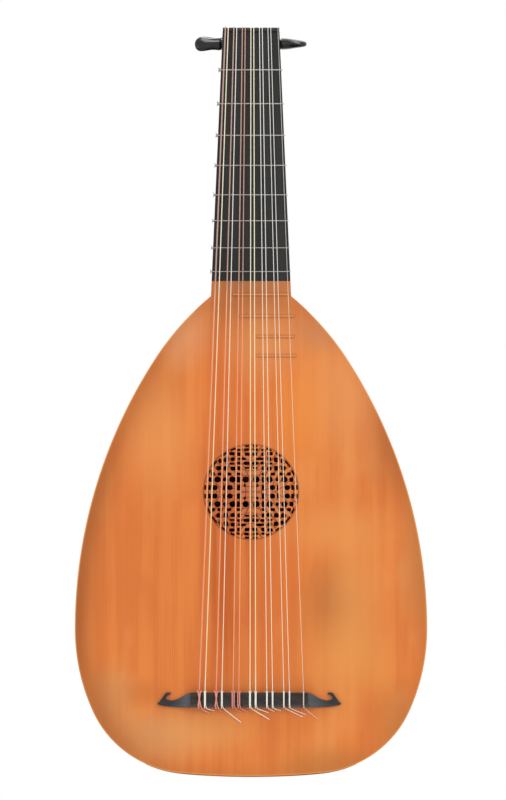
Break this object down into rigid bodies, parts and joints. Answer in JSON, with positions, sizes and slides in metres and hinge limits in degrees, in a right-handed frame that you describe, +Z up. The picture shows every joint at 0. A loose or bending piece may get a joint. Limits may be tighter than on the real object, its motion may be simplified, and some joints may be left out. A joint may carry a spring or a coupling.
{
  "type": "lute",
  "caption": "Plucked string instrument with a ribbed bowl, a pierced rose, double courses of strings, tied frets and a pegbox bent back behind the neck.",
  "frame": {"origin": "on the flat underside of the pegbox, 45 mm behind the nut's foot, on the middle line, where the lute hangs", "axes": "+Z up the strings from the bridge to the nut, -Y out of the soundboard towards the player's fingers, -X the bass side"},
  "size_m": [0.3206, 0.2113, 0.6928],
  "materials": {
    "spruce_varnish": "thin orange varnish over fine straight grain, satin",
    "bowl_wood": "red-brown varnish over figured hardwood, half gloss",
    "dark_wood": "dark stained hardwood, satin",
    "ebony": "black hardwood, oiled and polished",
    "plain_wood": "bare softwood",
    "fret_gut": "pale gut, dull",
    "wound_string": "reddish twisted bass string, satin",
    "pale_string": "pale smooth string, satin"
  },
  "bodies": {
    "root": {"soundboard": "spruce_varnish", "fingerboard": "ebony", "neck": "dark_wood", "neck_block": "plain_wood", "nut": "ebony", "bridge": "ebony", "end_clasp": "bowl_wood", "pegbox_bass_cheek": "dark_wood", "pegbox_treble_cheek": "dark_wood", "pegbox_back": "dark_wood", "pegbox_end_block": "dark_wood", "rib_01": "bowl_wood", "rib_02": "bowl_wood", "rib_03": "bowl_wood", "rib_04": "bowl_wood", "rib_05": "bowl_wood", "rib_06": "bowl_wood", "rib_07": "bowl_wood", "rib_08": "bowl_wood", "rib_09": "bowl_wood", "rib_10": "bowl_wood", "rib_11": "bowl_wood", "body_fret_09": "spruce_varnish", "body_fret_10": "spruce_varnish", "body_fret_11": "spruce_varnish", "body_fret_12": "spruce_varnish", "string_01": "wound_string", "string_02": "pale_string", "string_03": "wound_string", "string_04": "wound_string", "string_05": "wound_string", "string_06": "wound_string", "string_07": "pale_string", "string_08": "pale_string", "string_09": "pale_string", "string_10": "pale_string", "string_11": "pale_string", "string_12": "pale_string", "string_13": "pale_string"},
    "peg_01": {"peg_01": "ebony"},
    "peg_13": {"peg_13": "ebony"},
    "peg_02": {"peg_02": "ebony"},
    "peg_12": {"peg_12": "ebony"},
    "peg_03": {"peg_03": "ebony"},
    "peg_11": {"peg_11": "ebony"},
    "peg_04": {"peg_04": "ebony"},
    "peg_10": {"peg_10": "ebony"},
    "peg_05": {"peg_05": "ebony"},
    "peg_09": {"peg_09": "ebony"},
    "peg_06": {"peg_06": "ebony"},
    "peg_08": {"peg_08": "ebony"},
    "peg_07": {"peg_07": "ebony"},
    "tied_fret_1": {"tied_fret_1": "fret_gut"},
    "tied_fret_2": {"tied_fret_2": "fret_gut"},
    "tied_fret_3": {"tied_fret_3": "fret_gut"},
    "tied_fret_4": {"tied_fret_4": "fret_gut"},
    "tied_fret_5": {"tied_fret_5": "fret_gut"},
    "tied_fret_6": {"tied_fret_6": "fret_gut"},
    "tied_fret_7": {"tied_fret_7": "fret_gut"},
    "tied_fret_8": {"tied_fret_8": "fret_gut"}
  },
  "joints": [
    {"name": "peg_01_turn", "type": "hinge", "parent": "root", "child": "peg_01", "pos_m": [0, -0.01926, 0.01106], "axis": [1, 0, 0], "continuous": true},
    {"name": "peg_02_turn", "type": "hinge", "parent": "root", "child": "peg_02", "pos_m": [0, 0.00545, 0.01316], "axis": [1, 0, 0], "continuous": true},
    {"name": "peg_03_turn", "type": "hinge", "parent": "root", "child": "peg_03", "pos_m": [0, 0.03017, 0.01526], "axis": [1, 0, 0], "continuous": true},
    {"name": "peg_04_turn", "type": "hinge", "parent": "root", "child": "peg_04", "pos_m": [0, 0.05489, 0.01736], "axis": [1, 0, 0], "continuous": true},
    {"name": "peg_05_turn", "type": "hinge", "parent": "root", "child": "peg_05", "pos_m": [0, 0.0796, 0.01946], "axis": [1, 0, 0], "continuous": true},
    {"name": "peg_06_turn", "type": "hinge", "parent": "root", "child": "peg_06", "pos_m": [0, 0.10432, 0.02156], "axis": [1, 0, 0], "continuous": true},
    {"name": "peg_07_turn", "type": "hinge", "parent": "root", "child": "peg_07", "pos_m": [0, 0.12903, 0.02366], "axis": [1, 0, 0], "continuous": true},
    {"name": "peg_08_turn", "type": "hinge", "parent": "root", "child": "peg_08", "pos_m": [0, 0.11668, 0.02261], "axis": [1, 0, 0], "continuous": true},
    {"name": "peg_09_turn", "type": "hinge", "parent": "root", "child": "peg_09", "pos_m": [0, 0.09196, 0.02051], "axis": [1, 0, 0], "continuous": true},
    {"name": "peg_10_turn", "type": "hinge", "parent": "root", "child": "peg_10", "pos_m": [0, 0.06724, 0.01841], "axis": [1, 0, 0], "continuous": true},
    {"name": "peg_11_turn", "type": "hinge", "parent": "root", "child": "peg_11", "pos_m": [0, 0.04253, 0.01631], "axis": [1, 0, 0], "continuous": true},
    {"name": "peg_12_turn", "type": "hinge", "parent": "root", "child": "peg_12", "pos_m": [0, 0.01781, 0.01421], "axis": [1, 0, 0], "continuous": true},
    {"name": "peg_13_turn", "type": "hinge", "parent": "root", "child": "peg_13", "pos_m": [0, -0.0069, 0.01211], "axis": [1, 0, 0], "continuous": true},
    {"name": "tied_fret_1_slide", "type": "slide", "parent": "root", "child": "tied_fret_1", "axis": [0, 0, 1], "range_m": [-0.003, 0.003]},
    {"name": "tied_fret_2_slide", "type": "slide", "parent": "root", "child": "tied_fret_2", "axis": [0, 0, 1], "range_m": [-0.003, 0.003]},
    {"name": "tied_fret_3_slide", "type": "slide", "parent": "root", "child": "tied_fret_3", "axis": [0, 0, 1], "range_m": [-0.003, 0.003]},
    {"name": "tied_fret_4_slide", "type": "slide", "parent": "root", "child": "tied_fret_4", "axis": [0, 0, 1], "range_m": [-0.003, 0.003]},
    {"name": "tied_fret_5_slide", "type": "slide", "parent": "root", "child": "tied_fret_5", "axis": [0, 0, 1], "range_m": [-0.003, 0.003]},
    {"name": "tied_fret_6_slide", "type": "slide", "parent": "root", "child": "tied_fret_6", "axis": [0, 0, 1], "range_m": [-0.003, 0.003]},
    {"name": "tied_fret_7_slide", "type": "slide", "parent": "root", "child": "tied_fret_7", "axis": [0, 0, 1], "range_m": [-0.003, 0.003]},
    {"name": "tied_fret_8_slide", "type": "slide", "parent": "root", "child": "tied_fret_8", "axis": [0, 0, 1], "range_m": [-0.003, 0.003]}
  ]
}
